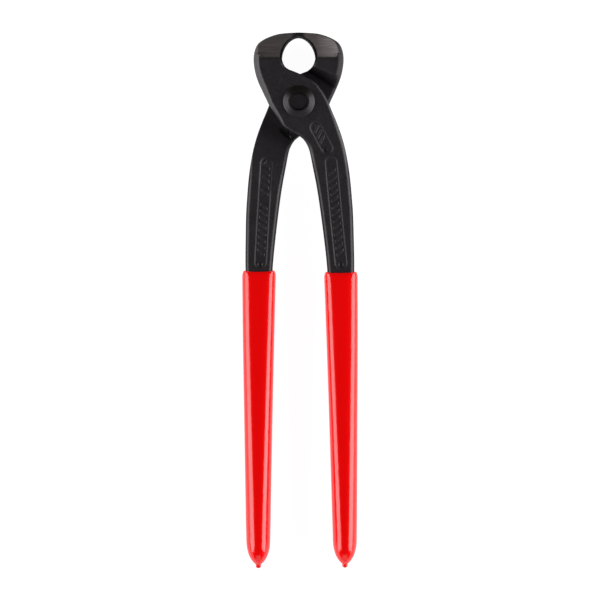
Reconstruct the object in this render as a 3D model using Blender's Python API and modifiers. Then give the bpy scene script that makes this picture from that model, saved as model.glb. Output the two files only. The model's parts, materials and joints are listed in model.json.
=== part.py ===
"""Pincer-type fencing pliers with a riveted lap joint and dipped grips.

Frame, in metres: the origin is the middle of the flat rear rivet head, on which the tool rests.
+Z is the pivot axis, towards the front, +Y points from the pivot to the nose of the jaws, and +X
to the right handle. The front lever runs from the left jaw to the right handle. The rear lever is
the same forging turned half a turn about the tool's long axis. The jaws are closed.
"""

import math

import bmesh
import bpy
import numpy as np

MM = 0.001

# Round cheek of each lever, which turns inside the other lever's jaw.
CHEEK_RADIUS = 10.3 * MM

# Overall sizes, from the pivot axis.
JAW_HEIGHT = 18.15 * MM  # above the cheek
JAW_OVERHANG = 8.2 * MM  # beside the cheek
HEAD_REACH = CHEEK_RADIUS + JAW_HEIGHT
HEAD_HALF_WIDTH = CHEEK_RADIUS + JAW_OVERHANG
HANDLE_REACH = 191.8 * MM
HANDLE_HALF_SPAN = 22.4 * MM
JOINT_HALF_THICKNESS = 7.5 * MM
HANDLE_HALF_THICKNESS = 4.6 * MM

# Clearances between pieces.
LAP_GAP = 0.3 * MM
NOSE_GAP = 0.3 * MM
GRIP_GAP = 0.3 * MM
SHANK_GAP = 0.3 * MM
SEAT_GAP = 0.3 * MM

# Lap joint.
JAW_SHOULDER = CHEEK_RADIUS + 2.6 * MM  # from the pivot, at the lap plane
JAW_SHOULDER_LEAN = 3.2 * MM  # how much farther it is at the lever's face
JAW_SHOULDER_TURN = math.radians(120)
HANDLE_RAMP_START = CHEEK_RADIUS + 2.8 * MM
HANDLE_RAMP_SLOPE = 0.21
HANDLE_RAMP_TURN = math.radians(-56)

# Jaws.
MOUTH_HALF_WIDTH = 6.85 * MM
MOUTH_ABOVE = 8.65 * MM  # from its widest up to the nose
MOUTH_BELOW = 6.85 * MM
MOUTH_EXPONENT = 1.85  # of its upper part: 2 is an ellipse and 1 a plain V
NOSE_LAND = 1.4 * MM  # height of the flat where the two noses meet
FACET_HEIGHT = 10.35 * MM  # from the facet's lower edge to the top of the nose
FACET_STEP = 0.35 * MM
FACET_SLOPE = math.radians(9)

# Rivet.
SHANK_RADIUS = 4.5 * MM
RIVET_HEAD_RADIUS = 6.7 * MM
RIVET_RIM_HEIGHT = 0.4 * MM
RIVET_CROWN_RADIUS = 4.5 * MM
RIVET_HEAD_HEIGHT = 1.4 * MM
RIVET_DISH_RADIUS = 3.6 * MM
RIVET_DISH_FLOOR = 2.85 * MM
RIVET_DISH_DEPTH = 0.95 * MM

# Dipped grips.
GRIP_WALL = 1.25 * MM
GRIP_TIP = 5.8 * MM  # plastic past the end of the steel
TIP_ROUND = 13.0 * MM  # length over which the grip's end is rounded
DRIP_RADIUS = 1.2 * MM
DRIP_LENGTH = 0.8 * MM
DRIP_TIP_SHARE = 0.45  # how wide the drip is at its very tip, as a share of its radius
DRIP_SUNK_SHARE = 0.9  # how much of the drip stands clear of the rounded end
RIGHT_GRIP_START = 69.7 * MM
LEFT_GRIP_START = 69.0 * MM
GRIP_LIP = 3.2 * MM
GRIP_LIP_SHARE = 0.25  # how thick the wall is at the lip's edge, as a share of the whole wall

# Recessed panels on the handles, as distances below the pivot.
PANEL_HALF_WIDTH = 2.5 * MM
PANEL_DEPTH = 0.45 * MM
PANEL_BLUNT = 0.3 * MM  # how much of a panel's round end is cut off flat
LONG_PANEL = (22.5 * MM, 67.3 * MM)
SHORT_PANEL = (9.0 * MM, 18.6 * MM)

# Edges of the forging: (width, depth).
SOFT_EDGE = (1.3 * MM, 1.3 * MM)
CRISP_EDGE = (0.5 * MM, 0.5 * MM)
BAND_START = (1.2 * MM, 2.4 * MM)
BAND_EDGE = (1.9 * MM, 4.2 * MM)  # wide rounded edge down the outer side of the jaw
NOSE_EDGE = (0.1 * MM, 0.1 * MM)
EDGE_EXPONENT = 1.6  # 2 is a round edge and 1 a plain chamfer

# Fineness of the surfaces.
EDGE_STEPS = 3
SPAN_STEPS = 2
PANEL_STEPS = 12
DRIP_STEPS = 3
GRIP_STEPS = 12
ROUND_STEPS = 64
TIP_TURNS = (80, 68, 56, 44, 30, 15, 0)  # degrees round the grip's end
LIP_TURNS = (30, 60, 90)  # degrees round the grip's lip
INSIDE_SHARES = (0.35, 0.6, 0.8, 0.93, 1.0)  # of the way round the grip's inside end
SHARP_ANGLE = math.radians(35)
MERGE_DISTANCE = 0.01 * MM
PAST = 3.0 * MM  # how far a cutter stands past what it cuts
CUTTER_SIZE = 3 * HEAD_REACH
FRAME_SIZE = 20 * MM

MID_HEIGHT = RIVET_HEAD_HEIGHT + SEAT_GAP + JOINT_HALF_THICKNESS
STEEL_REACH = HANDLE_REACH - GRIP_TIP

# The levers are drawn in millimetres at these sizes, and stretched to the sizes above.
DRAWN_HEAD_WIDTH = 18.5
DRAWN_JAW_HEIGHT = 18.15
DRAWN_CHEEK = 10.3
DRAWN_SPAN = 22.4
DRAWN_NECK = 66.0  # a longer or shorter handle changes only below this
DRAWN_STEEL = 186.0

# What a rib holds: outer x, y, inner x, y, half thickness, then the sizes of its edges.
EDGE_SIZES = slice(5, 9)

# Finishes: colour, roughness and how metallic.
STEEL_FINISH = ((0.018, 0.0165, 0.0175, 1.0), 0.42, 0.9)
RIVET_FINISH = ((0.03, 0.028, 0.029, 1.0), 0.38, 0.9)
GRIP_FINISH = ((0.72, 0.004, 0.006, 1.0), 0.22, 0.0)


def rib(outer, inner, thickness, outer_edge, inner_edge):
    """One section of the lever: two plan points, half thickness, and each edge's width, depth."""
    return np.array([*outer, *inner, thickness, *outer_edge, *inner_edge])


def handle_point(x, y):
    """A point of the handle, drawn in millimetres, with y negative below the pivot."""
    stretch = (STEEL_REACH / MM - DRAWN_NECK) / (DRAWN_STEEL - DRAWN_NECK)
    below = max(-y - DRAWN_NECK, 0.0)
    return x / DRAWN_SPAN * HANDLE_HALF_SPAN, (y + below - below * stretch) * MM


def joint_point(x, y):
    """A point of the joint, drawn in millimetres."""
    return x / DRAWN_CHEEK * CHEEK_RADIUS, y / DRAWN_CHEEK * CHEEK_RADIUS


def head_point(x, y):
    """A point of the head's outer side, drawn in millimetres."""
    above = (y - DRAWN_CHEEK) / DRAWN_JAW_HEIGHT
    return x / DRAWN_HEAD_WIDTH * HEAD_HALF_WIDTH, CHEEK_RADIUS + above * JAW_HEIGHT


def cheek_point(degrees):
    """A point on the round cheek, which turns inside the other lever's jaw."""
    turn = math.radians(degrees)
    return CHEEK_RADIUS * math.cos(turn), CHEEK_RADIUS * math.sin(turn)


def mouth_point(degrees):
    """A point on the left half of the mouth, from 0 at its widest to 90 at its top."""
    turn = math.radians(degrees)
    middle = HEAD_REACH - NOSE_LAND - MOUTH_ABOVE
    across = math.cos(turn)
    up = math.sin(turn)
    if degrees <= 0:
        return -MOUTH_HALF_WIDTH * across, middle + MOUTH_BELOW * up
    power = 2 / MOUTH_EXPONENT
    x = -max(MOUTH_HALF_WIDTH * across ** power, NOSE_GAP / 2)
    return x, middle + MOUTH_ABOVE * up ** power


def handle_ribs():
    """The handle, from its end up to the joint: outer and inner x, y, thickness share, edge."""
    drawn = (
        (20.20, 15.30, -186.0, 0.72, 1.4),
        (20.90, 14.65, -183.0, 0.92, 2.2),
        (21.32, 14.34, -178.0, 1.0, 2.4),
        (21.54, 13.91, -161.0, 1.0, 2.4),
        (21.89, 13.09, -128.0, 1.0, 2.4),
        (22.22, 12.17, -95.5, 1.0, 2.4),
        (22.30, 11.60, -73.5, 1.0, 2.0),
        (22.39, 11.05, -66.0, 1.0, 1.5),
        (22.24, 10.02, -56.0, 1.0, 1.4),
        (22.00, 8.81, -46.2, 1.02, 1.4),
        (21.05, 6.90, -33.3, 1.06, 1.4),
    )
    ribs = []
    for outer, inner, y, share, edge in drawn:
        round_edge = (edge * MM, edge * MM)
        ribs.append(rib(
            handle_point(outer, y), handle_point(inner, y),
            share * HANDLE_HALF_THICKNESS, round_edge, round_edge,
        ))
    return ribs


def joint_ribs():
    """The joint, from the handle up to the mouth, thickening to its full thickness."""
    full = JOINT_HALF_THICKNESS
    rise = full - HANDLE_HALF_THICKNESS
    soft = SOFT_EDGE
    crisp = CRISP_EDGE
    band = BAND_EDGE
    return [
        rib(handle_point(19.9, -23.2), handle_point(5.0, -23.0), full - rise * 0.76, soft, soft),
        rib(handle_point(17.7, -15.0), handle_point(3.3, -17.8), full - rise * 0.42, soft, soft),
        rib(joint_point(14.8, -6.9), joint_point(0.3, -14.2), full - rise * 0.1, soft, crisp),
        rib(joint_point(12.35, -1.2), joint_point(-2.0, -12.6), full, crisp, crisp),
        rib(joint_point(10.7, 2.1), joint_point(-4.4, -11.35), full, crisp, crisp),
        rib(cheek_point(31), joint_point(-6.5, -9.7), full, crisp, BAND_START),
        rib(cheek_point(50), joint_point(-9.4, -5.4), full, crisp, band),
        rib(cheek_point(68), joint_point(-12.2, -1.2), full, crisp, band),
        rib(joint_point(0.0, 11.2), joint_point(-14.2, 3.0), full, crisp, band),
        rib(joint_point(-1.75, 12.1), head_point(-15.4, 5.6), full, crisp, band),
        rib(joint_point(-4.1, 13.3), head_point(-16.6, 8.5), full, crisp, band),
    ]


def head_ribs():
    """The jaw, around the mouth from its lower end to the flat of the nose.

    Each row is a turn around the mouth, the outer x and y, and a share of the full edge sizes.
    """
    drawn = (
        (-34, -17.7, 11.5, 1.0),
        (-15, -18.3, 14.6, 1.0),
        (0, -18.5, 17.4, 1.0),
        (18, -18.3, 20.0, 1.0),
        (36, -17.6, 22.3, 1.0),
        (52, -15.9, 24.5, 0.9),
        (66, -12.6, 26.4, 0.6),
        (79, -7.5, 27.9, 0.35),
    )
    ribs = []
    for turn, x, y, share in drawn:
        crisp = [size * share for size in CRISP_EDGE]
        band = [size * share for size in BAND_EDGE]
        ribs.append(rib(
            mouth_point(turn), head_point(x, y), JOINT_HALF_THICKNESS, crisp, band,
        ))
    top = (-NOSE_GAP / 2, HEAD_REACH)
    ribs.append(rib(mouth_point(90), top, JOINT_HALF_THICKNESS, NOSE_EDGE, NOSE_EDGE))
    return ribs


def smooth(ribs, steps):
    """A smooth run of ribs through the given ones (a Catmull-Rom spline)."""
    run = []
    last = len(ribs) - 1
    for index in range(last):
        before = ribs[max(index - 1, 0)]
        start = ribs[index]
        end = ribs[index + 1]
        after = ribs[min(index + 2, last)]
        for step in range(steps):
            t = step / steps
            run.append(0.5 * (
                2 * start + (end - before) * t
                + (2 * before - 5 * start + 4 * end - after) * t ** 2
                + (3 * start - before - 3 * end + after) * t ** 3
            ))
    run.append(ribs[last])
    return run


def corner_points(width, depth):
    """A rounded edge, as insets from the side and from the face, from the side to the face."""
    points = []
    for step in range(EDGE_STEPS + 1):
        turn = math.pi / 2 * step / EDGE_STEPS
        across = abs(math.cos(turn)) ** (2 / EDGE_EXPONENT) if step < EDGE_STEPS else 0.0
        up = abs(math.sin(turn)) ** (2 / EDGE_EXPONENT) if step else 0.0
        points.append((width * (1 - across), depth * (1 - up)))
    return points


def ring(values):
    """The closed section of one rib, counterclockwise as seen from the handle's end."""
    outer = values[0:2]
    inner = values[2:4]
    half = values[4]
    along = (inner - outer) / np.linalg.norm(inner - outer)
    outer_width, outer_depth, inner_width, inner_depth = values[EDGE_SIZES]
    outer_corner = corner_points(outer_width, outer_depth)
    inner_corner = corner_points(inner_width, inner_depth)
    points = [(*(outer + along * i), half - d) for i, d in outer_corner]
    points += [(*(inner - along * i), half - d) for i, d in reversed(inner_corner)]
    points += [(*(inner - along * i), d - half) for i, d in inner_corner]
    points += [(*(outer + along * i), d - half) for i, d in reversed(outer_corner)]
    return points


def rings_of(run):
    """The rings of a run of ribs."""
    return [ring(values) for values in run]


def loft(name, rings):
    """A closed solid through a run of rings with equal counts of points."""
    bm = bmesh.new()
    rows = [[bm.verts.new(point) for point in points] for points in rings]
    count = len(rows[0])
    for low, high in zip(rows, rows[1:]):
        for k in range(count):
            nxt = (k + 1) % count
            bm.faces.new((low[k], low[nxt], high[nxt], high[k]))
    bm.faces.new(list(reversed(rows[0])))
    bm.faces.new(rows[-1])
    bmesh.ops.recalc_face_normals(bm, faces=bm.faces)
    mesh = bpy.data.meshes.new(name)
    bm.to_mesh(mesh)
    bm.free()
    return mesh


def add_object(name, mesh, collection):
    """An object for a mesh, in a collection."""
    obj = bpy.data.objects.new(name, mesh)
    collection.objects.link(obj)
    return obj


def add_cutter(name, mesh, collection):
    """A hidden cutter."""
    obj = add_object(name, mesh, collection)
    obj.display_type = "WIRE"
    obj.hide_render = True
    return obj


def round_cutter(name, radius, half_height, collection):
    """A round cutter on the pivot axis."""
    bm = bmesh.new()
    bmesh.ops.create_cone(
        bm, cap_ends=True, segments=ROUND_STEPS,
        radius1=radius, radius2=radius, depth=2 * half_height,
    )
    mesh = bpy.data.meshes.new(name)
    bm.to_mesh(mesh)
    bm.free()
    return add_cutter(name, mesh, collection)


def lap_section(depth):
    """Plan corners of the lap recess at a depth behind the lap plane."""
    jaw_side = JAW_SHOULDER + JAW_SHOULDER_LEAN * depth / JOINT_HALF_THICKNESS
    handle_side = HANDLE_RAMP_START + depth / HANDLE_RAMP_SLOPE
    z = LAP_GAP / 2 - depth
    corners = []
    for reach, turn in ((jaw_side, JAW_SHOULDER_TURN), (handle_side, HANDLE_RAMP_TURN)):
        out = np.array([math.cos(turn), math.sin(turn)])
        side = np.array([-out[1], out[0]]) * 2 * HEAD_HALF_WIDTH
        corners.append((*(out * reach + side), z))
        corners.append((*(out * reach - side), z))
    return corners


def lap_cutter(collection):
    """The space behind the front lever's cheek, where the rear lever passes."""
    mesh = loft("lap_recess", [lap_section(JOINT_HALF_THICKNESS + PAST), lap_section(0.0)])
    return add_cutter("lap_recess", mesh, collection)


def facet_cutter(side, collection):
    """The space over the ground facet of the jaw, on the front (1) or the back (-1)."""
    bm = bmesh.new()
    half = CUTTER_SIZE / 2
    bmesh.ops.create_cube(bm, size=CUTTER_SIZE)
    bmesh.ops.translate(bm, verts=bm.verts, vec=(0.0, half, side * half))
    name = "facet_front" if side > 0 else "facet_back"
    mesh = bpy.data.meshes.new(name)
    bm.to_mesh(mesh)
    bm.free()
    obj = add_cutter(name, mesh, collection)
    obj.location = (0.0, HEAD_REACH - FACET_HEIGHT, side * (JOINT_HALF_THICKNESS - FACET_STEP))
    obj.rotation_euler = (-side * FACET_SLOPE, 0.0, 0.0)
    return obj


def rib_at(run, reach):
    """The rib whose middle lies a given distance below the pivot."""
    middles = np.array([-(values[1] + values[3]) / 2 for values in run])
    order = np.argsort(middles)
    columns = np.array(run)[order].T
    return np.array([np.interp(reach, middles[order], column) for column in columns])


def panel_cutter(name, run, reaches, side, collection):
    """The space of a recessed panel with round ends, along the middle of the handle."""
    start, end = reaches
    middle = (start + end) / 2
    half_length = (end - start) / 2
    rings = []
    for step in range(PANEL_STEPS + 1):
        reach = middle - half_length * math.cos(math.pi * step / PANEL_STEPS)
        values = rib_at(run, reach)
        to_end = half_length - abs(reach - middle) + PANEL_BLUNT
        narrow = max(PANEL_HALF_WIDTH - to_end, 0.0)
        half_width = math.sqrt(PANEL_HALF_WIDTH ** 2 - narrow ** 2)
        centre = (values[0:2] + values[2:4]) / 2
        along = (values[2:4] - values[0:2]) / np.linalg.norm(values[2:4] - values[0:2])
        low = (values[4] - PANEL_DEPTH) * side
        high = (values[4] + PAST) * side
        left = centre + along * half_width
        right = centre - along * half_width
        rings.append([(*right, low), (*left, low), (*left, high), (*right, high)])
    return add_cutter(name, loft(name, rings), collection)


def lever_mesh(run, collection):
    """The forged lever, front lever's way round, about the middle of the joint."""
    blank = add_object("lever_blank", loft("lever_blank", rings_of(run)), collection)
    cutters = [
        lap_cutter(collection),
        round_cutter("rivet_hole", SHANK_RADIUS + SHANK_GAP, 2 * JOINT_HALF_THICKNESS, collection),
        facet_cutter(1, collection),
        facet_cutter(-1, collection),
        panel_cutter("long_panel_front", run, LONG_PANEL, 1, collection),
        panel_cutter("long_panel_back", run, LONG_PANEL, -1, collection),
        panel_cutter("short_panel", run, SHORT_PANEL, 1, collection),
    ]
    for cutter in cutters:
        cut = blank.modifiers.new(cutter.name, "BOOLEAN")
        cut.operation = "DIFFERENCE"
        cut.solver = "EXACT"
        cut.object = cutter
    depsgraph = bpy.context.evaluated_depsgraph_get()
    mesh = bpy.data.meshes.new_from_object(blank.evaluated_get(depsgraph))
    mesh.name = "lever"
    for obj in [blank, *cutters]:
        bpy.data.objects.remove(obj)
    return mesh


def grip_ring(run, reach, offset, share):
    """A ring of the grip: the steel's section grown by an offset, then shrunk towards its middle."""
    values = rib_at(run, min(reach, STEEL_REACH - TIP_ROUND + GRIP_TIP))
    values[1] = values[3] = -reach
    middle = (values[0] + values[2]) / 2
    half_width = ((values[0] - values[2]) / 2 + offset) * share
    values[0] = middle + half_width
    values[2] = middle - half_width
    values[4] = (values[4] + offset) * share
    values[EDGE_SIZES] = (values[EDGE_SIZES] + offset) * share
    return ring(values)


def grip_mesh(name, run, start):
    """A dipped sleeve, open where the steel goes in and closed around its end."""
    round_from = HANDLE_REACH - DRIP_LENGTH - TIP_ROUND
    rings = drip_rings(run, round_from)
    rings += outside_rings(run, round_from, start)
    rings += inside_rings(run, round_from, start)
    return loft(name, rings)


def drip_rings(run, round_from):
    """The drip's rings, from its tip up into the rounded end."""
    outside = GRIP_GAP + GRIP_WALL
    values = rib_at(run, round_from)
    half_width = (values[0] - values[2]) / 2 + outside
    rings = []
    for step in range(DRIP_STEPS + 1):
        up = step / DRIP_STEPS
        reach = HANDLE_REACH - DRIP_LENGTH * up * DRIP_SUNK_SHARE
        spread = DRIP_TIP_SHARE + (1 - DRIP_TIP_SHARE) * math.sin(math.pi / 2 * up)
        rings.append(grip_ring(run, reach, outside, DRIP_RADIUS * spread / half_width))
    return rings


def outside_rings(run, round_from, start):
    """The outside's rings: the rounded end, the straight skin and the lip."""
    outside = GRIP_GAP + GRIP_WALL
    rings = []
    for degrees in TIP_TURNS:
        turn = math.radians(degrees)
        reach = round_from + TIP_ROUND * math.sin(turn)
        rings.append(grip_ring(run, reach, outside, math.cos(turn)))
    straight_end = start + GRIP_LIP
    for step in range(1, GRIP_STEPS + 1):
        reach = round_from + (straight_end - round_from) * step / GRIP_STEPS
        rings.append(grip_ring(run, reach, outside, 1.0))
    for degrees in LIP_TURNS:
        turn = math.radians(degrees)
        reach = straight_end - GRIP_LIP * math.sin(turn)
        left = GRIP_LIP_SHARE + (1 - GRIP_LIP_SHARE) * math.cos(turn)
        rings.append(grip_ring(run, reach, GRIP_GAP + GRIP_WALL * left, 1.0))
    return rings


def inside_rings(run, round_from, start):
    """The inside's rings, from the lip down to past the end of the steel."""
    rings = [grip_ring(run, start, GRIP_GAP, 1.0)]
    for step in range(1, GRIP_STEPS + 1):
        reach = start + (round_from - start) * step / GRIP_STEPS
        rings.append(grip_ring(run, reach, GRIP_GAP, 1.0))
    inner_end = STEEL_REACH + GRIP_GAP
    for share in INSIDE_SHARES:
        rings.append(inner_ring(run, round_from + (inner_end - round_from) * share))
    return rings


def inner_ring(run, reach):
    """A ring of the grip's inside, past the start of the rounded end."""
    values = rib_at(run, min(reach, STEEL_REACH))
    values[1] = values[3] = -reach
    values[0] += GRIP_GAP
    values[2] -= GRIP_GAP
    values[4] += GRIP_GAP
    values[EDGE_SIZES] += GRIP_GAP
    return ring(values)


def rivet_mesh():
    """The rivet's turned profile, from the dished front head to the flat back head."""
    top = 2 * MID_HEIGHT
    face = top - RIVET_HEAD_HEIGHT
    back = RIVET_HEAD_HEIGHT
    profile = (
        (0.0, top - RIVET_DISH_DEPTH),
        (RIVET_DISH_FLOOR, top - RIVET_DISH_DEPTH),
        (RIVET_DISH_RADIUS, top),
        (RIVET_CROWN_RADIUS, top),
        (RIVET_HEAD_RADIUS, face + RIVET_RIM_HEIGHT),
        (RIVET_HEAD_RADIUS, face),
        (SHANK_RADIUS, face),
        (SHANK_RADIUS, back),
        (RIVET_HEAD_RADIUS, back),
        (RIVET_HEAD_RADIUS, back - RIVET_RIM_HEIGHT),
        (RIVET_CROWN_RADIUS, 0.0),
        (0.0, 0.0),
    )
    bm = bmesh.new()
    verts = [bm.verts.new((r, 0.0, z)) for r, z in profile]
    for first, second in zip(verts, verts[1:]):
        bm.edges.new((first, second))
    mesh = bpy.data.meshes.new("pivot_rivet")
    bm.to_mesh(mesh)
    bm.free()
    return mesh


def add_rivet(collection):
    """The rivet, turned about the pivot axis."""
    rivet = add_object("pivot_rivet", rivet_mesh(), collection)
    screw = rivet.modifiers.new("turned", "SCREW")
    screw.steps = ROUND_STEPS
    screw.render_steps = ROUND_STEPS
    screw.use_merge_vertices = True
    screw.merge_threshold = MERGE_DISTANCE
    return rivet


def material(name, finish):
    """A plain material."""
    colour, roughness, metallic = finish
    made = bpy.data.materials.new(name)
    made.use_nodes = True
    shader = made.node_tree.nodes["Principled BSDF"]
    shader.inputs["Base Color"].default_value = colour
    shader.inputs["Roughness"].default_value = roughness
    shader.inputs["Metallic"].default_value = metallic
    made.diffuse_color = colour
    return made


def finish_piece(obj, surface, frame):
    """Give a piece its material, smooth shading, and its place on a frame."""
    obj.data.materials.clear()
    obj.data.materials.append(surface)
    obj.data.shade_smooth()
    obj.data.set_sharp_from_angle(angle=SHARP_ANGLE)
    obj.parent = frame


def add_frame(name, turn, collection):
    """An empty at the middle of the joint, on the pivot axis."""
    frame = bpy.data.objects.new(name, None)
    frame.empty_display_size = FRAME_SIZE
    frame.location = (0.0, 0.0, MID_HEIGHT)
    frame.rotation_euler = (0.0, turn, 0.0)
    collection.objects.link(frame)
    return frame


def clear_scene():
    """Remove what the scene starts with."""
    for obj in list(bpy.data.objects):
        bpy.data.objects.remove(obj)


def build():
    """The whole tool."""
    clear_scene()
    parts = bpy.data.collections.new("fencing_pliers")
    cutters = bpy.data.collections.new("cutters")
    bpy.context.scene.collection.children.link(parts)
    bpy.context.scene.collection.children.link(cutters)

    steel = material("blackened_steel", STEEL_FINISH)
    rivet_steel = material("rivet_steel", RIVET_FINISH)
    red = material("red_dip", GRIP_FINISH)

    run = smooth(handle_ribs() + joint_ribs() + head_ribs(), SPAN_STEPS)
    forging = lever_mesh(run, cutters)
    front = add_frame("front_lever_pivot", 0.0, parts)
    rear = add_frame("rear_lever_frame", math.pi, parts)

    finish_piece(add_object("front_lever", forging, parts), steel, front)
    finish_piece(add_object("rear_lever", forging, parts), steel, rear)
    right = grip_mesh("right_grip", run, RIGHT_GRIP_START)
    finish_piece(add_object("right_grip", right, parts), red, front)
    left = grip_mesh("left_grip", run, LEFT_GRIP_START)
    finish_piece(add_object("left_grip", left, parts), red, rear)
    rivet = add_rivet(parts)
    finish_piece(rivet, rivet_steel, None)


build()
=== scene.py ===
import json
import math

import bmesh
import bpy
import numpy as np
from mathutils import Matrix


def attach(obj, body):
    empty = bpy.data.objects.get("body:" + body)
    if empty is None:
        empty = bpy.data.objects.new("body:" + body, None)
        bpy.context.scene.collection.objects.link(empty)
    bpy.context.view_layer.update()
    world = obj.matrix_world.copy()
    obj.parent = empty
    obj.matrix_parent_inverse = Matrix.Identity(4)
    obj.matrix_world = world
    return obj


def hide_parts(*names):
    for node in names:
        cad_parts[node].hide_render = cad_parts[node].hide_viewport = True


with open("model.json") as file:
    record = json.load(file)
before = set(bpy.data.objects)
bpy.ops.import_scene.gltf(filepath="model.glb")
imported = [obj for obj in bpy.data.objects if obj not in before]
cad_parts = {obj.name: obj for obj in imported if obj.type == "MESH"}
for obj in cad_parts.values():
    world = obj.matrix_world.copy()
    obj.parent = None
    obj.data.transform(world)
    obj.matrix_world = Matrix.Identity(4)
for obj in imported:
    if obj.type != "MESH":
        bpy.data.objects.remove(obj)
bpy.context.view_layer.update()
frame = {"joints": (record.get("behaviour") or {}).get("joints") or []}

# The forging is worked out in millimetres about the middle of the joint, as the front lever.
# The rear lever is the same forging turned half a turn about Y. Plan points are x and y.
MM = 0.001
PIVOT_HEIGHT = frame["joints"][0]["pos_m"][2] / MM  # middle of the joint above the floor

# Joint and jaws.
JOINT_HALF = 7.5  # half thicknesses
HANDLE_HALF = 4.6
LAP_GAP = 0.3
NOSE_X = -0.002
CHEEK = 10.3  # radius of the round cheek
MOUTH_MIDDLE = 18.4  # where the mouth is widest
MOUTH_WIDE = 6.85  # the mouth's half width, and its reach above and below its middle
MOUTH_ABOVE = 8.65
MOUTH_BELOW = 6.85
MOUTH_POWER = 1.85  # below 2, so the mouth is a little pointed at its top
HEAD_TOP = 28.45
JAW_EDGE = 1.1  # rounded edge around the mouth
JAW_EDGE_LEAST = 0.4  # least share of it, towards the nose
NOSE_EDGES = ((0.15, 0.15), (0.2, 0.2))  # width and depth, inner and outer
SHOULDER_DEEP = (122.7, 12.9)  # line of the jaw's shoulder at the lap: direction, distance
SHOULDER_FACE = (111.8, 15.8)  # and at the jaw's face
SHOULDER_SOFT = 0.035  # rounding of the shoulder, as a share of its rise
SHOULDER_LEAST = 0.3  # least distance over which the shoulder rises
SHOULDER_PAST = 3.0  # this far past the face's line, the jaw has its full thickness
RAMP = (-56.0, 13.1)  # line where the handle starts to thicken: direction, distance
RAMP_SLOPE = 0.21
RAMP_SOFT = 1.0  # rounding of the ramp's start
RAMP_DROP = 0.02
LAP_SOFT = 0.25  # rounding where the recess meets the back face
LAP_FADE = 3.0  # depth of recess at which the edges are at their smallest
BAND = (2.5, 4.2)  # width and depth of the wide rounded edge
LAP_EDGE = (0.35, 0.35)  # width and depth of the edges, where the recess has cut the back face
LAP_BAND = (1.3, 1.69)
FACET_Y = 17.8  # foot of the ground facet
FACET_STEP = 0.42  # depth of the step at its foot, and the width of that step
FACET_EDGE = 0.55
FACET_SLOPE = math.tan(math.radians(8.5))
FACET_CORNER = 1.7  # radius of its lower outer corner
FACET_FADE = 0.3
FOOT_SHADE_LINE = (0.05, 0.33)  # painted shade along the facet's foot, at its step: place and width

# Edges and mesh.
EDGE_POWER = 1.7  # 2 would be a round edge
CORNER_POINTS = 7
SIDE_POINTS = 3
FACE_POINTS = 60
FINE_SPACING = 0.3
GRIP_SPACING = 3.0  # where the handle is hidden
HIDDEN_BELOW = -72.0  # from here down, the handle is inside its grip
TRIAL_POINTS = 8000
EDGE_SHARE = 0.92  # share of the steel's thickness that its two rounded edges may take
LEAST_DROP = 1e-6  # keeps a division from being by zero
HOLE_RADIUS = 4.8
HOLE_SIDES = 96
HOLE_DEPTH = 40.0
SHARP_ANGLE = 55.0

# Recessed panels: their middle lines, sizes and slanted bars. A bar's place is along the line.
# A punch mark is x, y, radius and depth.
FRONT_PANEL = ((13.1, -25.0), (13.85, -34.0), (15.2, -49.0), (16.9, -66.2))
BACK_PANEL = ((13.5, -25.2), (14.0, -33.0), (14.9, -46.0), (16.15, -65.7))
SHORT_PANEL = ((6.9, -10.7), (11.5, -19.2))
PANEL_HALF = 2.4
SHORT_HALF = 2.3
PANEL_DEPTH = 0.3
RIM_WEAR_AND_SHEEN = 0.12
RIM_LINE = (-0.1, 0.3)  # place and width of a panel's worn rim, lighter also as a painted highlight
PANEL_WALL = 0.9
FRONT_BARS = tuple(4.0 + 2.75 * k for k in range(13))
BACK_BARS = tuple(1.0 + 2.7 * k for k in range(5)) + tuple(17.6 + 2.7 * k for k in range(8))
SHORT_BARS = (0.6, 3.0, 5.4)
BAR_HALF = (0.5, 1.5)
BAR_HEIGHT = 0.24
BAR_SLANT = 0.7
BAR_WALL = 0.35
BAR_CLEAR = 0.4  # bars stop this far inside the panel's rim
DIMPLE_STEEP = 1.6
DIMPLE_SHADE = (1.15, 2.5)  # reach and steepness of the painted shade in a punch mark
FRONT_DIMPLES = ((10.7, -19.5, 1.4, 0.2), (16.9, -66.9, 1.3, 0.3))
BACK_DIMPLES = (
    (16.3, -66.6, 1.3, 0.3), (6.6, -11.4, 1.5, 0.15), (5.0, -12.4, 2.0, 0.22),
    (3.3, -12.0, 1.5, 0.15), (4.1, -14.2, 0.8, 0.3),
)

# Masks. A pair is where a mask starts and the distance over which it grows.
SIDE_WEAR_AND_SHEEN = 0.25
GROUND_FADE = 0.12
CORNER_FADE = 2.0  # points across a rounded edge over which a side's mask fades
MOUTH_WALL = (14.0, 3.0)  # up the jaw, the edge around the mouth looks like the side
MOUTH_WALL_MORE = 2.0
HANDLE_WALL = (18.0, 12.0)  # and down the handle, both edges do
JAW_DIM = (5.0, 3.0)  # up the jaw, its wide rounded edge is duller
JAW_DIM_MOST = 0.45
MOUTH_RIM_SHADE = (8.6, 1.5)  # up the jaw, painted shade on the edge around the mouth
MOUTH_RIM_SHADE_WIDE = 3.0
NOSE_FADE = (1.2, 2.2)  # away from the noses, the painted shade on their ends fades out
NOSE_SHADE = 0.85
PAINTED_FACET_LIGHT = (7.0, 9.0)  # painted light: away from the noses, the back facet is brighter
PAINTED_FACET_LIGHT_LEAST = 0.15

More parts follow.
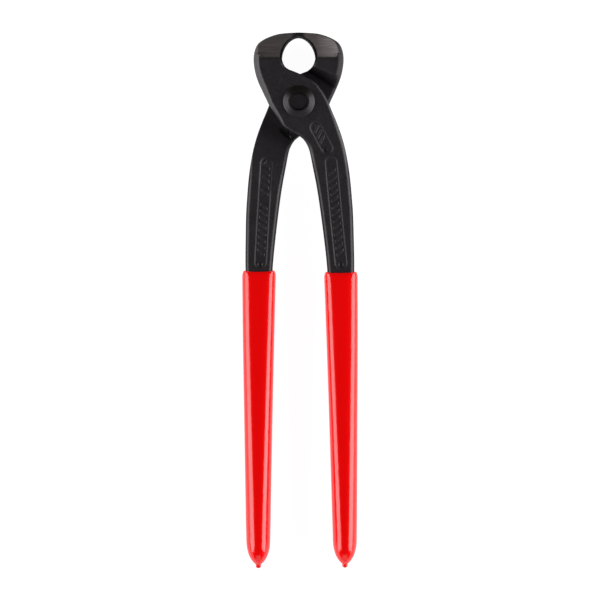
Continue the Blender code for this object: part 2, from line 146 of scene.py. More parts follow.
# Grips. Places along a grip are distances below the pivot.
GRIP_OUT = 1.54  # from the edge of the steel to the outside of its grip
GRIP_FIT = 0.06
GRIP_START = {"right_grip": 69.7, "left_grip": 69.0}
GRIP_BOW = 0.6  # how far the lip dips in the middle of a face
BOW_FADE = (12.0, 9.0)  # where the dip starts below the lip's end, and how long it grows
GRIP_END = 190.6
GRIP_POWER = 1.9  # at the tip: its section is rounder there
GRIP_HALF_THICK = 6.1
GRIP_SIDES = 112
GRIP_RINGS = 90
LIP_LENGTH = 3.0
LIP_TURNS = (8.0, 90.0)
LIP_RINGS = 16
LIP_EDGE = 0.35  # how far the lip's end is from the steel
LIP_ROUND = 0.8
LIP_POWER = 2.8
LIP_SQUARE = 1.2  # how much squarer the lip's end is
TIP_LENGTH = 12.6
TIP_SHARES = (0.985, 0.02)  # first and last ring, as shares of the tip's length
TIP_RINGS = 44
TIP_POWERS = (2.8, 1.5)  # of the tip's outline
TIP_BLEND = 1.6  # how soon its section turns from round to the grip's own
DRIP_TIP = 191.75
DRIP_RADIUS = 1.15
DRIP_LENGTH = 1.0
DRIP_STEPS = 8
DRIP_POINT = 0.03
ROUND_POWER = 2.0
INSIDE_POWER = 4.5
INSIDE_SUNK = (0.25, 2.0)  # how far below the lip's edge the first two hidden rings are
INSIDE_END = 184.0
INSIDE_RINGS = 30

# Rivet. Depths are below its front end, and rises are above the face of the joint.
RIVET_AXIS = 0.01  # a ring this small closes an end
RIVET_SHANK = 4.5
RIVET_HEAD = 6.68
RIVET_CLEAR = 0.03
RIVET_FRONT_BEVEL = (6.35, 0.42)  # radius and rise
RIVET_BACK_BEVEL = (6.4, 0.45)
RIVET_BACK_FLAT = 4.3
DISH_FLOOR = (3.1, 0.95)  # radius and depth
DISH_RIM = ((3.7, 0.08), (4.25, 0.05))
DISH_SHADE = ((2.8, 0.3), (3.95, 0.2))  # where the painted shade on the wall of the dish starts and ends
# Painted shade on the upper side of the rivet's front head, which faces away from the lamps.
HEAD_SHADE = 0.92
HEAD_SHADE_FROM = 3.8  # radius
HEAD_SHADE_TURN = (0.25, 0.6)  # sine of the angle where it starts, and over which it grows
RIVET_ROUND = 0.35
RIVET_ROUND_STEPS = 6
ROUND_REACH = 0.45  # most of a straight stretch that one rounded corner may take
RIVET_SIDES = 160

# Colours, in linear light. A pair is the darkest and the lightest.
STEEL_BLACK = ((0.0085, 0.0062, 0.0082), (0.015, 0.011, 0.0142))
STEEL_GRAIN = (0.022, 0.018, 0.021)
STEEL_WORN_AND_SHEEN = (0.034, 0.029, 0.034)
GROUND_DULL = ((0.055, 0.045, 0.044), (0.11, 0.094, 0.09))
# A painted lit copy of the ground steel, for the back facet.
GROUND_PAINTED_LIT = ((0.3, 0.258, 0.258), (0.44, 0.39, 0.39))
GROUND_STREAK = (0.078, 0.067, 0.066)
# Painted shade: the facet's foot line, the mouth's edge, the nose ends and the punch marks.
PAINTED_SHADE_BLACK = (0.002, 0.0018, 0.0018)
RIVET_BLACK = ((0.011, 0.0085, 0.0112), (0.0185, 0.015, 0.0185))
RIVET_GRAIN = (0.02, 0.0165, 0.019)
# Painted shade on the rivet: the wall of its dish and the upper side of its front head.
RIVET_SHADE = (0.004, 0.0024, 0.0016)
DIP_RED = ((0.88, 0.0003, 0.0006), (0.93, 0.0004, 0.0008))
DIP_FLECK = (0.84, 0.0006, 0.001)
FLOOR_PALE = ((0.24, 0.24, 0.24), (0.27, 0.27, 0.27))
WHITE = (1.0, 1.0, 1.0, 1.0)

# Finishes. Grains are in metres. A bump is its depth in metres and its strength.
NOISE_MIDDLE = (0.35, 0.65)  # the part of a noise's range that is used
NOISE_MOST = (0.3, 0.7)
NOISE_MOTTLE = (0.35, 0.68)
MOTTLE = 0.0045
GRAIN = 0.0006
GRAIN_HARSH = 0.6
GRAIN_HIGHS = (0.4, 0.75, 0.0, 0.5)
PITS = 0.0016
STREAKS = 0.00022
STREAK_STRETCH = (0.03, 1.0, 1.0)
BROAD_STREAKS = 0.0009
BROAD_HARSH = 0.5
BROAD_STRETCH = (0.05, 1.0, 0.6)
BROAD_MOST = 0.35
WEAR_AND_SHEEN_PATCHES = (0.3, 0.65, 0.35, 1.0)
WEAR_AND_SHEEN_RANGE = (0.1, 1.0, 0.0, 0.45)
DARK_RANGE = (0.0, 1.0, 0.0, 0.95)
BLACK_ROUGH = (0.42, 0.56)
GROUND_ROUGH = (0.46, 0.6)
SIDE_ROUGHER = 0.35
SIDE_SPECULAR = (0.5, 0.08)  # on the face and on the side
GROUND_METAL = 0.5
BLACK_METAL = 0.12
MOTTLE_BUMP = (0.00012, 0.55)
PIT_BUMP = (0.00006, 0.6)
GRAIN_BUMP = (0.00003, 0.7)
STREAK_BUMP = (0.000012, 0.6)
RIVET_MOTTLE = 0.003
RIVET_FINE = 0.0005
RIVET_HIGHS = (0.45, 0.75, 0.0, 0.5)
RIVET_ROUGH = (0.38, 0.5)
RIVET_DARK_ROUGHER = 0.3
RIVET_SPECULAR = (0.34, 0.1)  # in the open and under the painted shade
RIVET_METAL = 0.1
TURNING_SCALE = 900.0
TURNING_WAVER = 1.5
RIVET_MOTTLE_BUMP = (0.00008, 0.5)
TURNING_BUMP = (0.00001, 0.35)
RIVET_GRAIN_BUMP = (0.00003, 0.6)
DIP_DRIFT = 0.02
DRIFT_STRETCH = (1.0, 0.25, 1.0)
DIP_FLECKS = 0.0011
FLECK_HIGHS = (0.55, 0.8, 0.0, 0.25)
DIP_ROUGH = (0.13, 0.19)
DIP_IOR = 1.5
DRIFT_BUMP = (0.0005, 0.3)
FLECK_BUMP = (0.00002, 0.35)
FLOOR_TINT = 0.08
FLOOR_ROUGH = 0.9

# Light and view, in metres.
FLOOR_GLOW = 0.95
FLOOR_SIZE = 6.0
FLOOR_PLACE = (0.0, -0.08, -0.0002)
SIDE_AWAY = 1.15
SIDE_HEIGHT = 0.48
SIDE_SIZE = (1.5, 0.95)
LEFT_RADIANCE = 5.2
RIGHT_RADIANCE = 6.0
LOW_AWAY = 1.2
LOW_HEIGHT = 0.42
LOW_SIZE = (1.2, 0.7)
LOW_RADIANCE = 1.1
SURROUND = 0.045
CAMERA_MIDDLE = (-0.00004, -0.0813)
CAMERA_DISTANCE = 1.2
CAMERA_ROLL = -0.0061
VIEW_WIDTH = 0.2457
SENSOR = 36.0


def soft_step(value):
    """Smooth rise from 0 to 1 as value goes from 0 to 1."""
    t = np.clip(value, 0.0, 1.0)
    return t * t * (3.0 - 2.0 * t)


def fade(value, start, over):
    """Smooth rise from 0 to 1 that starts at a value and takes a given distance."""
    return soft_step((value - start) / over)


def line(value, place, width):
    """A soft line: 1 where the value is at its place, and 0 well away from it."""
    return np.exp(-((value - place) / width) ** 2)


def soft_max(a, b, radius):
    """The larger of two heights, with a rounded join."""
    return 0.5 * (a + b + np.sqrt((a - b) ** 2 + radius ** 2))


def rib(outer, inner, half, outer_edge, inner_edge):
    """One section of the lever: two plan points, half thickness, each edge's width and depth."""
    return np.array([*outer, *inner, half, *outer_edge, *inner_edge], dtype=float)


def cheek_point(degrees):
    """A point on the round cheek."""
    turn = math.radians(degrees)
    return CHEEK * math.cos(turn), CHEEK * math.sin(turn)


def mouth_point(degrees):
    """A point on the left half of the pear-shaped mouth, from 0 at its widest to 90 at its top."""
    turn = math.radians(degrees)
    if degrees <= 0:
        return -MOUTH_WIDE * math.cos(turn), MOUTH_MIDDLE + MOUTH_BELOW * math.sin(turn)
    power = 2 / MOUTH_POWER
    x = -max(MOUTH_WIDE * math.cos(turn) ** power, -NOSE_X)
    return x, MOUTH_MIDDLE + MOUTH_ABOVE * math.sin(turn) ** power


def handle_ribs():
    """The handle, from its end up: outer and inner x, y, thickness share, edge."""
    drawn = (
        (20.20, 15.30, -186.0, 0.72, 1.4),
        (20.90, 14.65, -183.0, 0.92, 2.2),
        (21.32, 14.34, -178.0, 1.0, 2.4),
        (21.54, 13.91, -161.0, 1.0, 2.4),
        (21.89, 13.09, -128.0, 1.0, 2.4),
        (22.22, 12.17, -95.5, 1.0, 2.4),
        (22.30, 11.50, -74.0, 1.0, 1.8),
        (22.39, 11.05, -66.0, 1.0, 1.6),
        (22.24, 10.02, -56.0, 1.0, 1.65),
        (22.00, 8.81, -46.2, 1.02, 1.65),
        (21.57, 7.91, -39.6, 1.04, 1.65),
        (21.05, 6.90, -33.3, 1.08, 1.65),
        (20.35, 5.75, -27.4, 1.14, 1.65),
    )
    return [
        rib((outer, y), (inner, y), share * HANDLE_HALF, (edge, edge), (edge, edge))
        for outer, inner, y, share, edge in drawn
    ]


def joint_ribs():
    """The joint, from the handle up to the mouth."""
    soft = (1.7, 1.5)
    crisp = (1.1, 0.9)
    band = BAND
    full = JOINT_HALF
    return [
        rib((19.35, -21.6), (4.35, -20.4), 5.75, soft, soft),
        rib((18.5, -17.8), (3.4, -17.75), 6.2, soft, soft),
        rib((17.1, -13.0), (2.1, -15.6), 6.7, soft, (1.1, 1.1)),
        rib((15.15, -7.8), (0.6, -14.2), 7.1, (1.4, 1.2), (0.9, 0.9)),
        rib((13.6, -4.1), (-0.9, -13.15), 7.35, (1.2, 1.0), (0.8, 0.8)),
        rib((12.3, -0.9), (-2.6, -12.35), full, crisp, (0.7, 0.7)),
        rib((11.35, 1.1), (-4.2, -11.45), full, crisp, (0.7, 0.7)),
        rib((10.3, 3.1), (-5.7, -10.45), full, crisp, (0.8, 0.9)),
        rib(cheek_point(31), (-6.65, -9.55), full, crisp, (0.9, 1.4)),
        rib(cheek_point(42), (-8.0, -7.5), full, crisp, (1.25, 2.3)),
        rib(cheek_point(54), (-9.9, -4.65), full, crisp, (1.6, 3.0)),
        rib(cheek_point(67), (-12.2, -1.2), full, crisp, (1.95, 3.4)),
        rib((2.1, 10.75), (-13.2, 0.95), full, crisp, (2.15, 3.7)),
        rib((0.1, 11.55), (-14.25, 3.1), full, crisp, (2.35, 4.0)),
        rib((-1.65, 12.3), (-15.3, 5.4), full, crisp, band),
        rib((-3.9, 13.2), (-16.5, 8.2), full, crisp, band),
    ]


def head_ribs():
    """The jaw, around the mouth from its lower end to the flat of the nose."""
    drawn = (
        (-36, -17.6, 11.4, 1.0),
        (-18, -18.25, 14.4, 1.0),
        (0, -18.5, 17.4, 1.0),
        (18, -18.3, 20.0, 1.0),
        (34, -17.75, 22.0, 0.95),
        (46, -16.9, 23.65, 0.85),
        (56, -15.6, 24.85, 0.7),
        (68, -12.5, 26.45, 0.45),
        (79, -7.5, 27.95, 0.3),
    )
    ribs = [
        rib(
            mouth_point(turn), (x, y), JOINT_HALF,
            (JAW_EDGE * max(share, JAW_EDGE_LEAST),) * 2, (BAND[0] * share, BAND[1] * share),
        )
        for turn, x, y, share in drawn
    ]
    ribs.append(rib(mouth_point(90), (NOSE_X, HEAD_TOP), JOINT_HALF, *NOSE_EDGES))
    return ribs


def spline(keys, where):
    """Points of a smooth curve through the keys (a Catmull-Rom spline), at fractional indices."""
    keys = np.asarray(keys)
    last = len(keys) - 1
    index = np.clip(np.floor(where).astype(int), 0, last - 1)
    t = (where - index)[:, None]
    before = keys[np.maximum(index - 1, 0)]
    start = keys[index]
    end = keys[index + 1]
    after = keys[np.minimum(index + 2, last)]
    return 0.5 * (
        2 * start + (end - before) * t
        + (2 * before - 5 * start + 4 * end - after) * t ** 2
        + (3 * start - before - 3 * end + after) * t ** 3
    )


def even_run(keys):
    """Ribs at an even spacing along the keys, closer where the steel shows."""
    trial = np.linspace(0.0, len(keys) - 1.0, TRIAL_POINTS)
    ribs = spline(keys, trial)
    outer = np.hypot(*np.diff(ribs[:, 0:2], axis=0).T)
    inner = np.hypot(*np.diff(ribs[:, 2:4], axis=0).T)
    hidden = np.minimum(ribs[1:, 1], ribs[1:, 3]) < HIDDEN_BELOW
    spacing = np.where(hidden, GRIP_SPACING, FINE_SPACING)
    travel = np.concatenate(([0.0], np.cumsum(np.maximum(outer, inner) / spacing)))
    count = int(math.ceil(travel[-1]))
    where = np.interp(np.linspace(0.0, travel[-1], count + 1), travel, trial)
    return spline(keys, where)


def along_path(x, y, path):
    """Distance beside a path in plan, signed, and how far along it the nearest point is."""
    nearest = np.full(x.shape, np.inf)
    side = np.ones(x.shape)
    travel = np.zeros(x.shape)
    done = 0.0
    for (x0, y0), (x1, y1) in zip(path, path[1:]):
        length = math.hypot(x1 - x0, y1 - y0)
        t = ((x - x0) * (x1 - x0) + (y - y0) * (y1 - y0)) / length ** 2
        t = np.clip(t, 0.0, 1.0)
        gap = np.hypot(x - x0 - t * (x1 - x0), y - y0 - t * (y1 - y0))
        closer = gap < nearest
        turn = (x1 - x0) * (y - y0) - (y1 - y0) * (x - x0)
        side = np.where(closer, np.sign(turn), side)
        nearest = np.where(closer, gap, nearest)
        travel = np.where(closer, done + t * length, travel)
        done += length
    return nearest * side, travel


def panel(x, y, path, half, bars):
    """Depth of a recessed panel with plain slanted bars, and how near its rim a point is."""
    beside, travel = along_path(x, y, path)
    gap = np.abs(beside)
    inside = half - gap
    depth = PANEL_DEPTH * soft_step(inside / PANEL_WALL + 0.5)
    for middle in bars:
        off = np.abs(travel - middle + BAR_SLANT * beside)
        within = np.minimum(BAR_HALF[0] - off, BAR_HALF[1] - gap)
        depth = depth - BAR_HEIGHT * soft_step(within / BAR_WALL + 0.5) * (inside > BAR_CLEAR)
    return depth, line(inside, *RIM_LINE)


def facet(y, from_band):
    """Depth of the ground facet at the nose, its mask, and the mask of the painted shade along its
    foot.
    """
    up = y - FACET_Y
    corner = FACET_CORNER
    short = corner - np.clip(from_band, 0.0, corner)
    inside = up - corner + np.sqrt(corner ** 2 - short ** 2)
    depth = soft_step(inside / FACET_EDGE) * (FACET_STEP + FACET_SLOPE * np.maximum(up, 0.0))
    return depth, soft_step(inside / FACET_FADE), line(inside, *FOOT_SHADE_LINE)


def past_line(x, y, direction, distance):
    """How far a point is past a line in plan, given by its direction and its distance."""
    turn = math.radians(direction)
    return x * math.cos(turn) + y * math.sin(turn) - distance


def lap_height(x, y):
    """Height of the recess behind the front lever's cheek: lap, jaw shoulder and handle ramp."""
    deep = past_line(x, y, *SHOULDER_DEEP)
    face = past_line(x, y, *SHOULDER_FACE)
    share = deep / np.maximum(deep - face, SHOULDER_LEAST)
    rise = np.sqrt(share ** 2 + SHOULDER_SOFT ** 2)
    fall = np.sqrt((share - 1.0) ** 2 + SHOULDER_SOFT ** 2)
    share = np.where(face > SHOULDER_PAST, 1.0, 0.5 * (rise - fall + 1.0))
    ramp = past_line(x, y, *RAMP)
    ramp = 0.5 * (ramp + np.sqrt(ramp ** 2 + RAMP_SOFT ** 2)) - RAMP_DROP
    lap = LAP_GAP / 2
    return lap - share * (JOINT_HALF + lap) - RAMP_SLOPE * np.maximum(ramp, 0.0)


def dimples(x, y, drawn):
    """Depth of the round punch marks in a face, and the painted shade at each point in them."""
    depth = np.zeros_like(x)
    shade = np.zeros_like(x)
    reach, steep = DIMPLE_SHADE
    for cx, cy, radius, deep in drawn:
        away = np.hypot(x - cx, y - cy) / radius
        depth = depth + deep * soft_step((1.0 - away) * DIMPLE_STEEP)
        shade = np.maximum(shade, soft_step((reach - away) * steep))
    return depth, shade


def front_face(x, y, half):
    """Height of the front face, and the masks of its panels' rims and its shaded dimples."""
    long_depth, long_rim = panel(x, y, FRONT_PANEL, PANEL_HALF, FRONT_BARS)
    short_depth, short_rim = panel(x, y, SHORT_PANEL, SHORT_HALF, SHORT_BARS)
    dent, shade = dimples(x, y, FRONT_DIMPLES)
    height = half - long_depth - short_depth - dent
    return height, RIM_WEAR_AND_SHEEN * np.maximum(long_rim, short_rim), shade


def back_face(x, y, half):
    """Height of the back face, the same masks, and where the recess has cut it."""
    panel_depth, rim = panel(x, y, BACK_PANEL, PANEL_HALF, BACK_BARS)
    dent, shade = dimples(x, y, BACK_DIMPLES)
    height = soft_max(-half, lap_height(x, y), LAP_SOFT) + dent
    lapped = soft_step((height + half) / LAP_FADE)
    return height + panel_depth, RIM_WEAR_AND_SHEEN * rim, shade, lapped


def rib_width(run):
    """Width of each rib, from its outer to its inner edge."""
    return np.hypot(*(run[:, 2:4] - run[:, 0:2]).T)[:, None]


def across_ribs(run, inset):
    """Plan points at given distances from the outer edge of each rib."""
    share = inset / rib_width(run)
    x = run[:, 0:1] + (run[:, 2:3] - run[:, 0:1]) * share
    y = run[:, 1:2] + (run[:, 3:4] - run[:, 1:2]) * share
    return x, y


def front_edges(run):
    """Width and depth of each rib's outer edge, then of its inner edge."""
    return [run[:, column:column + 1] for column in (5, 6, 7, 8)]


def back_edges(run):
    """The same on the back face, where the edges are smaller along the recess."""
    width = rib_width(run)
    x, y = across_ribs(run, np.hstack([np.zeros_like(width), width]))
    lapped = back_face(x, y, run[:, 4:5])[3]
    at_outer = lapped[:, 0:1]
    at_inner = lapped[:, 1:2]
    return [
        size + (np.minimum(size, small) - size) * share
        for size, small, share in zip(
            front_edges(run), (*LAP_EDGE, *LAP_BAND), (at_outer, at_outer, at_inner, at_inner)
        )
    ]


def across_face(run, edges):
    """Insets of the points across a face, and how far its rounded edges drop at each."""
    out_wide, out_deep, in_wide, in_deep = edges
    width = rib_width(run)
    turn = np.linspace(0.0, math.pi / 2, CORNER_POINTS)
    across = 1.0 - np.abs(np.cos(turn)) ** (2 / EDGE_POWER)
    drop = 1.0 - np.abs(np.sin(turn)) ** (2 / EDGE_POWER)
    spread = np.linspace(0.0, 1.0, FACE_POINTS + 2)[1:-1]
    inset = np.hstack([
        out_wide * across, out_wide + (width - out_wide - in_wide) * spread,
        width - in_wide * across[::-1],
    ])
    flat = np.zeros((len(run), FACE_POINTS))
    return inset, np.hstack([out_deep * drop, flat, in_deep * drop[::-1]])


def lever_rings(run):
    """Vertex rows of the lever's skin, one closed ring for each rib, and their masks."""
    half = run[:, 4:5]
    width = rib_width(run)
    outer_y = run[:, 1:2]

    edges = front_edges(run)
    inset, front_drop = across_face(run, edges)
    front_x, front_y = across_ribs(run, inset)
    front_height, front_rim, front_shade = front_face(front_x, front_y, half)
    front_facet = facet(front_y, width - edges[2] - inset)

    edges = back_edges(run)
    inset, back_drop = across_face(run, edges)
    back_x, back_y = across_ribs(run, inset)
    back_height, back_rim, back_shade = back_face(back_x, back_y, half)[:3]
    back_facet = facet(back_y, width - edges[2] - inset)

    room = front_height - back_height
    limit = np.minimum(1.0, EDGE_SHARE * room / (front_drop + back_drop + LEAST_DROP))
    front_z, front_ground = ground_off(front_height - front_drop * limit, half, front_facet)
    back_z, back_ground = ground_off(-back_height - back_drop * limit, half, back_facet)
    front = np.stack([front_x, front_y, front_z], axis=2)
    back = np.stack([back_x, back_y, -back_z], axis=2)

    front_masks = face_masks(
        front_x, outer_y, front_ground, front_facet[2], front_rim, front_shade
    )
    back_masks = face_masks(
        back_x, outer_y, back_ground * off_band(), back_facet[2], back_rim, back_shade
    )
    back_masks["wall"] = np.maximum(back_masks["wall"], dim_mask(outer_y))
    # Painted light on the back facet, brighter away from the noses.
    painted_lit_share = np.clip((-back_x - PAINTED_FACET_LIGHT[0]) / PAINTED_FACET_LIGHT[1], 0.0, 1.0)
    back_masks["painted_facet_light"] = PAINTED_FACET_LIGHT_LEAST + (1.0 - PAINTED_FACET_LIGHT_LEAST) * painted_lit_share
    return closed_rings(front, back), skin_masks(front_masks, back_masks)


def closed_rings(front, back):
    """Rings through the outer side, the front face, the inner side and the back face."""
    steps = np.linspace(0.0, 1.0, SIDE_POINTS + 2)[1:-1, None]

    def side(column):
        foot = back[:, column, None]
        return foot + (front[:, column, None] - foot) * steps

    return np.concatenate([side(0), front, side(-1)[:, ::-1], back[:, ::-1]], axis=1)


def ground_off(height, half, cut):
    """A face's height once its facet is ground flat, and where it was ground."""
    plane = half - cut[0]
    taken = soft_step((height - plane) / GROUND_FADE + 0.5)
    return np.minimum(height, plane), taken * cut[1]


def face_masks(x, outer_y, ground, foot, rim, shade):
    """Masks across one face: worn with painted highlight, ground, painted shade, side-like and
    painted light on the facet.
    """
    wall = wall_mask(outer_y)
    nose = 1.0 - fade(-x, *NOSE_FADE)
    ground = ground * (1.0 - wall)
    # Painted shade along the facet's foot and on the edge around the mouth.
    painted_shade = np.maximum(foot * (1.0 - wall), mouth_rim_shade(outer_y))
    # Painted shade on the ends of the noses, where the jaws meet.
    painted_shade = np.maximum(painted_shade, NOSE_SHADE * nose * ground)
    return {
        "wear_and_sheen": np.maximum(edge_mask(), rim),
        "ground": ground * (1.0 - nose),
        "painted_shade": np.maximum(painted_shade, shade),
        # Painted shade in the punch marks joins it.
        "wall": wall,
        "painted_facet_light": np.zeros_like(x),
    }


def skin_masks(front, back):
    """The masks of both faces, in the order of the rings, with those of the sides between."""
    plain = np.zeros((len(front["wall"]), SIDE_POINTS))
    sides = {"wear_and_sheen": plain + SIDE_WEAR_AND_SHEEN, "wall": plain + 1.0}
    made = {}
    for name in front:
        side = sides.get(name, plain)
        made[name] = np.hstack([side, front[name], side, back[name][:, ::-1]])
    return made


def wall_mask(y):
    """How far each point across a face belongs to the side: 1 at the side and 0 on the face."""
    steps = np.arange(CORNER_POINTS)[None, :] / CORNER_FADE
    mouth = fade(y, *MOUTH_WALL)
    handle = fade(-y, *HANDLE_WALL)
    outer_corner = np.clip(1.0 + MOUTH_WALL_MORE * mouth + handle - steps, 0.0, 1.0)
    inner_corner = np.clip(1.0 + handle - steps, 0.0, 1.0)
    face = np.zeros((len(y), FACE_POINTS))
    return np.hstack([outer_corner, face, inner_corner[:, ::-1]])


def dim_mask(y):
    """How much duller the rounded edge down the back of the jaw is."""
    face = np.zeros((len(y), CORNER_POINTS + FACE_POINTS))
    jaw = JAW_DIM_MOST * fade(y, *JAW_DIM)
    return np.hstack([face, np.repeat(jaw, CORNER_POINTS, axis=1)])


def off_band():
    """Where the back facet shows as ground: 1 on the face and 0 on the jaw's rounded edge."""
    band = np.clip(1.0 - np.arange(CORNER_POINTS) / CORNER_FADE, 0.0, 1.0)
    return np.concatenate([np.ones(CORNER_POINTS + FACE_POINTS), band])[None, :]


def mouth_rim_shade(y):
    """Painted shade on the edge around the mouth: 1 on the mouth's rounded edge and 0 elsewhere.
    """
    steps = np.arange(CORNER_POINTS)[None, :] / CORNER_FADE
    painted_shade = fade(y, *MOUTH_RIM_SHADE) * np.clip(MOUTH_RIM_SHADE_WIDE - steps, 0.0, 1.0)
    return np.hstack([painted_shade, np.zeros((len(y), FACE_POINTS + CORNER_POINTS))])


def edge_mask():
    """How worn each point across a face is, with a painted highlight: 1 on the rounded edges and 0
    on the flat.
    """
    turn = np.linspace(0.0, math.pi, CORNER_POINTS)
    corner = np.sin(turn)
    return np.concatenate([corner, np.zeros(FACE_POINTS), corner[::-1]])[None, :]


def ring_mesh(name, rows, masks):
    """A closed mesh through rows of points, with a float attribute for each mask."""
    count, around = rows.shape[0], rows.shape[1]
    index = np.arange(count * around).reshape(count, around)
    step = np.roll(index, -1, axis=1)
    quads = np.stack([index[:-1], step[:-1], step[1:], index[1:]], axis=2).reshape(-1, 4)
    faces = [tuple(q) for q in quads.tolist()]
    faces.append(tuple(index[0][::-1].tolist()))
    faces.append(tuple(index[-1].tolist()))
    mesh = bpy.data.meshes.new(name)
    mesh.from_pydata((rows.reshape(-1, 3) * MM).tolist(), [], faces)
    for mask_name, values in masks.items():
        layer = mesh.attributes.new(mask_name, "FLOAT", "POINT")
        layer.data.foreach_set("value", values.reshape(-1).astype(np.float32))
    bm = bmesh.new()
    bm.from_mesh(mesh)
    bmesh.ops.recalc_face_normals(bm, faces=bm.faces)
    bm.to_mesh(mesh)
    bm.free()
    mesh.shade_smooth()
    mesh.set_sharp_from_angle(angle=math.radians(SHARP_ANGLE))
    return mesh


def new_object(name, mesh):
    """An object for a mesh, linked to the scene."""
    obj = bpy.data.objects.new(name, mesh)
    bpy.context.scene.collection.objects.link(obj)
    return obj


def cut_hole(mesh):
    """The forging with its rivet hole."""
    blank = new_object("lever_blank", mesh)
    bm = bmesh.new()
    bmesh.ops.create_cone(
        bm, cap_ends=True, segments=HOLE_SIDES, radius1=HOLE_RADIUS * MM,
        radius2=HOLE_RADIUS * MM, depth=HOLE_DEPTH * MM,
    )
    drill_mesh = bpy.data.meshes.new("drill")
    bm.to_mesh(drill_mesh)
    bm.free()
    drill = new_object("drill", drill_mesh)
    cut = blank.modifiers.new("hole", "BOOLEAN")
    cut.operation = "DIFFERENCE"
    cut.solver = "EXACT"
    cut.object = drill
    depsgraph = bpy.context.evaluated_depsgraph_get()
    made = bpy.data.meshes.new_from_object(blank.evaluated_get(depsgraph))
    made.name = "lever_forging"
    bpy.data.objects.remove(blank)
    bpy.data.objects.remove(drill)
    return made


def lever_forging(run):
    """The whole forging as one mesh."""
    rows, masks = lever_rings(run)
    return cut_hole(ring_mesh("forging", rows, masks))


def oval(middle, half_wide, half_thick, y, power, bow=0.0):
    """A closed ring of a grip: a superellipse across the handle, dipping in its middle."""
    turn = np.linspace(0.0, 2 * math.pi, GRIP_SIDES, endpoint=False)
    cos = np.cos(turn)
    sin = np.sin(turn)
    x = middle + half_wide * np.sign(cos) * np.abs(cos) ** (2 / power)
    z = half_thick * np.sign(sin) * np.abs(sin) ** (2 / power)
    return np.stack([x, y - bow * sin ** 2, z], axis=1)


def steel_at(run, reach):
    """Middle and half width of the handle's steel, a distance below the pivot."""
    order = np.argsort(-run[:, 1])
    depth = -run[order, 1]
    outer = np.interp(reach, depth, run[order, 0])
    inner = np.interp(reach, depth, run[order, 2])
    return (outer + inner) / 2, (outer - inner) / 2


def drip_rings(middle):
    """The drip below a grip's tip."""
    rings = []
    for step in range(DRIP_STEPS + 1):
        turn = math.pi / 2 * step / DRIP_STEPS
        radius = DRIP_RADIUS * math.sin(turn) if step else DRIP_POINT
        reach = DRIP_TIP - DRIP_LENGTH * (1 - math.cos(turn))
        rings.append(oval(middle, radius, radius, -reach, ROUND_POWER))
    return rings


def tip_rings(middle, half_wide):
    """The rounded tip of a grip, from the drip up."""
    rings = []
    fall, rise = TIP_POWERS
    for share_down in np.linspace(*TIP_SHARES, TIP_RINGS):
        share = (1.0 - share_down ** fall) ** (1 / rise)
        wide = max(half_wide * share, DRIP_RADIUS)
        thick = max(GRIP_HALF_THICK * share, DRIP_RADIUS)
        reach = GRIP_END - TIP_LENGTH + TIP_LENGTH * share_down
        power = ROUND_POWER + (GRIP_POWER - ROUND_POWER) * min(1.0, share * TIP_BLEND)
        rings.append(oval(middle, wide, thick, -reach, power))
    return rings


def skin_rings(run, start):
    """The long skin of a grip, from its tip up to its lip."""
    rings = []
    tip_from = GRIP_END - TIP_LENGTH
    for reach in np.linspace(tip_from, start + LIP_LENGTH, GRIP_RINGS):
        middle, half = steel_at(run, reach)
        up = (tip_from - reach) / (tip_from - start)
        power = GRIP_POWER + (LIP_POWER - GRIP_POWER) * up
        bow = GRIP_BOW * soft_step((start + BOW_FADE[0] - reach) / BOW_FADE[1])
        rings.append(oval(middle, half + GRIP_OUT, GRIP_HALF_THICK, -reach, power, bow))
    return rings


def lip_rings(run, start):
    """The rolled lip of a grip."""
    rings = []
    for degrees in np.linspace(*LIP_TURNS, LIP_RINGS):
        turn = math.radians(degrees)
        reach = start + LIP_LENGTH * (1 - math.sin(turn))
        middle, half = steel_at(run, reach)
        slim = math.cos(turn) ** LIP_ROUND
        wide = half + LIP_EDGE + (GRIP_OUT - LIP_EDGE) * slim
        thick = HANDLE_HALF + LIP_EDGE + (GRIP_HALF_THICK - HANDLE_HALF - LIP_EDGE) * slim
        power = LIP_POWER + LIP_SQUARE * math.sin(turn) ** 2
        rings.append(oval(middle, wide, thick, -reach, power, GRIP_BOW))
    return rings


def inside_rings(run, start):
    """The hidden inside of a grip, close around the steel."""
    rings = []
    thick = HANDLE_HALF + GRIP_FIT
    first, second = INSIDE_SUNK
    middle, half = steel_at(run, start)
    rings.append(oval(middle, half + GRIP_FIT, thick, -(start + first), INSIDE_POWER, GRIP_BOW))
    for reach in np.linspace(start + second, INSIDE_END, INSIDE_RINGS):
        middle, half = steel_at(run, reach)
        rings.append(oval(middle, half + GRIP_FIT, thick, -reach, INSIDE_POWER))
    return rings


def grip_mesh(name, run, start):
    """A dipped sleeve: drip, rounded tip, straight skin, rolled lip and a hidden inside."""
    middle, half = steel_at(run, GRIP_END - TIP_LENGTH)
    rings = drip_rings(middle)
    rings += tip_rings(middle, half + GRIP_OUT)
    rings += skin_rings(run, start)
    rings += lip_rings(run, start)
    rings += inside_rings(run, start)
    return ring_mesh(name, np.array(rings), {})


def turned_mesh(name, profile, masks, sides):
    """A turned piece about Z from its profile of radius and height, with its masks."""
    turn = np.linspace(0.0, 2 * math.pi, sides, endpoint=False)
    rows = [
        np.stack([r * np.cos(turn), r * np.sin(turn), np.full(sides, z)], axis=1)
        for r, z in profile
    ]
    return ring_mesh(name, np.array(rows), masks)


